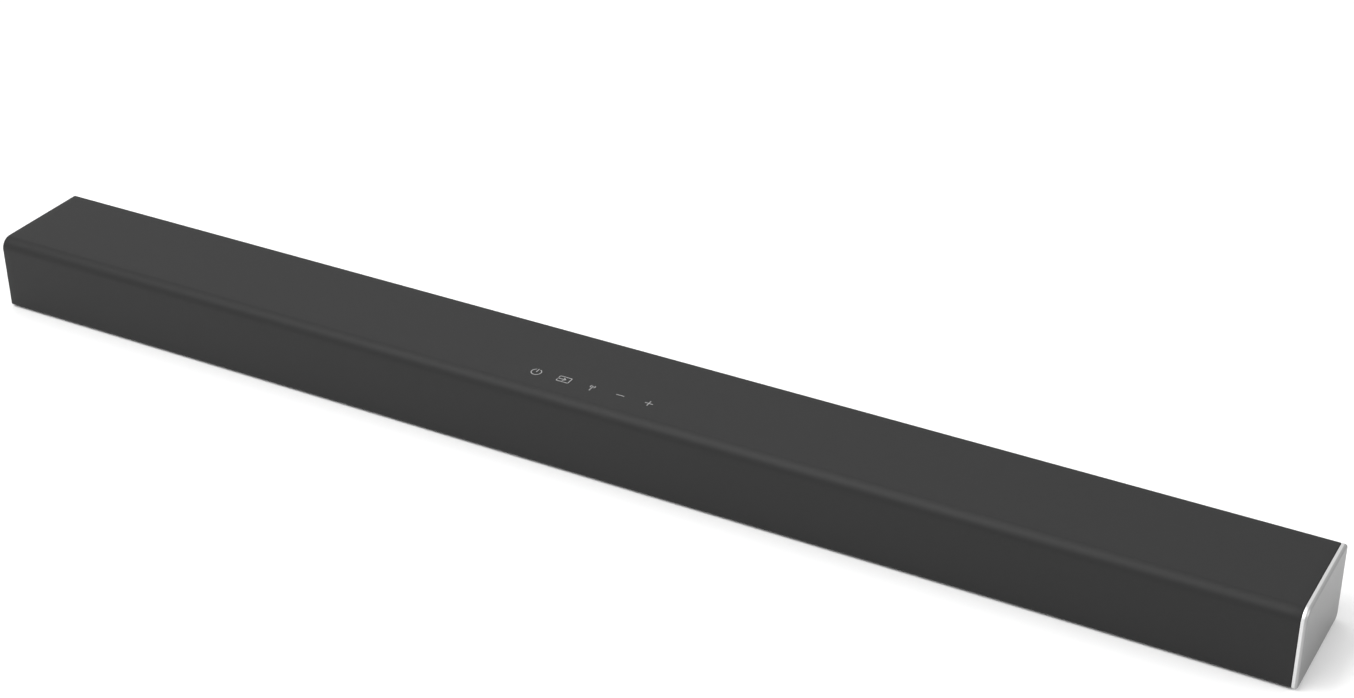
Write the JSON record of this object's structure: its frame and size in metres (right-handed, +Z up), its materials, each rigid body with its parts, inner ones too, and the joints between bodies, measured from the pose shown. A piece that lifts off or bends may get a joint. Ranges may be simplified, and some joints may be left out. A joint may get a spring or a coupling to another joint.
{
  "type": "soundbar",
  "caption": "Slim fabric-wrapped soundbar with silver end caps, press-through keys along the top, a socket recess and keyhole plates behind, and rubber feet.",
  "frame": {"origin": "on the surface that the bar stands on, under the centre of its box", "axes": "+X along the bar towards the end cap that shows its silver rim, -Y out of the front, +Z up"},
  "size_m": [0.9144, 0.0772, 0.0523],
  "materials": {
    "fabric": "dark grey acoustic knit",
    "silver": "satin silver paint",
    "black_plastic": "fine spark-eroded texture",
    "rubber": "matte",
    "steel": "zinc plated",
    "magnet": "ferrite and black steel",
    "paper_cone": "black pressed paper",
    "surround_rubber": "soft, matte",
    "spider_cloth": "resin-stiffened cloth",
    "foam": "open-cell foam",
    "circuit_board": "green solder mask",
    "aluminium": "extruded",
    "light_guide": "clear",
    "capacitor": "printed sleeve, no lettering",
    "transformer": "taped winding",
    "wire": "black insulation",
    "wire_red": "red insulation",
    "ribbon": "pale flat cable"
  },
  "bodies": {
    "bar": {"fabric_sleeve": "fabric", "front_housing": "black_plastic", "rear_cover": "black_plastic", "end_cap_left": "silver", "end_cap_right": "silver", "socket_tray": "black_plastic", "keyhole_plate_left": "steel", "keyhole_plate_right": "steel", "foot_front_left": "rubber", "foot_back_left": "rubber", "foot_front_right": "rubber", "foot_back_right": "rubber", "key_board": "circuit_board", "baffle_panel": "black_plastic", "chamber_wall_left": "black_plastic", "chamber_wall_right": "black_plastic", "main_board": "circuit_board", "power_board": "circuit_board", "transformer": "transformer", "mains_capacitor": "capacitor", "heat_sink": "aluminium", "wireless_module": "circuit_board", "indicator_board": "circuit_board", "light_guide": "light_guide", "hdmi_socket": "steel", "usb_socket": "steel", "optical_socket": "black_plastic", "aux_socket": "black_plastic", "mains_inlet": "black_plastic", "speaker_lead_left": "wire_red", "speaker_lead_right": "wire_red", "indicator_lead": "wire", "power_lead": "wire", "mains_lead": "wire", "key_ribbon": "ribbon", "basket_left": "steel", "motor_left": "magnet", "surround_left": "surround_rubber", "spider_left": "spider_cloth", "gasket_left": "foam", "basket_right": "steel", "motor_right": "magnet", "surround_right": "surround_rubber", "spider_right": "spider_cloth", "gasket_right": "foam", "cover_screw_1": "steel", "cover_screw_2": "steel", "cover_screw_3": "steel", "cover_screw_4": "steel", "cover_screw_5": "steel", "cover_screw_6": "steel"},
    "key_power": {"key_power": "black_plastic"},
    "key_input": {"key_input": "black_plastic"},
    "key_wireless": {"key_wireless": "black_plastic"},
    "key_volume_down": {"key_volume_down": "black_plastic"},
    "key_volume_up": {"key_volume_up": "black_plastic"},
    "cone_left": {"cone_left": "paper_cone"},
    "cone_right": {"cone_right": "paper_cone"}
  },
  "joints": [
    {"name": "key_power_press", "type": "slide", "parent": "bar", "child": "key_power", "axis": [0, 0, -1], "range_m": [0, 0.0005], "stiffness_N_per_m": 800},
    {"name": "key_input_press", "type": "slide", "parent": "bar", "child": "key_input", "axis": [0, 0, -1], "range_m": [0, 0.0005], "stiffness_N_per_m": 800},
    {"name": "key_wireless_press", "type": "slide", "parent": "bar", "child": "key_wireless", "axis": [0, 0, -1], "range_m": [0, 0.0005], "stiffness_N_per_m": 800},
    {"name": "key_volume_down_press", "type": "slide", "parent": "bar", "child": "key_volume_down", "axis": [0, 0, -1], "range_m": [0, 0.0005], "stiffness_N_per_m": 800},
    {"name": "key_volume_up_press", "type": "slide", "parent": "bar", "child": "key_volume_up", "axis": [0, 0, -1], "range_m": [0, 0.0005], "stiffness_N_per_m": 800},
    {"name": "cone_left_stroke", "type": "slide", "parent": "bar", "child": "cone_left", "axis": [0, -1, 0], "range_m": [-0.0025, 0.0025], "stiffness_N_per_m": 1500},
    {"name": "cone_right_stroke", "type": "slide", "parent": "bar", "child": "cone_right", "axis": [0, -1, 0], "range_m": [-0.0025, 0.0025], "stiffness_N_per_m": 1500}
  ]
}
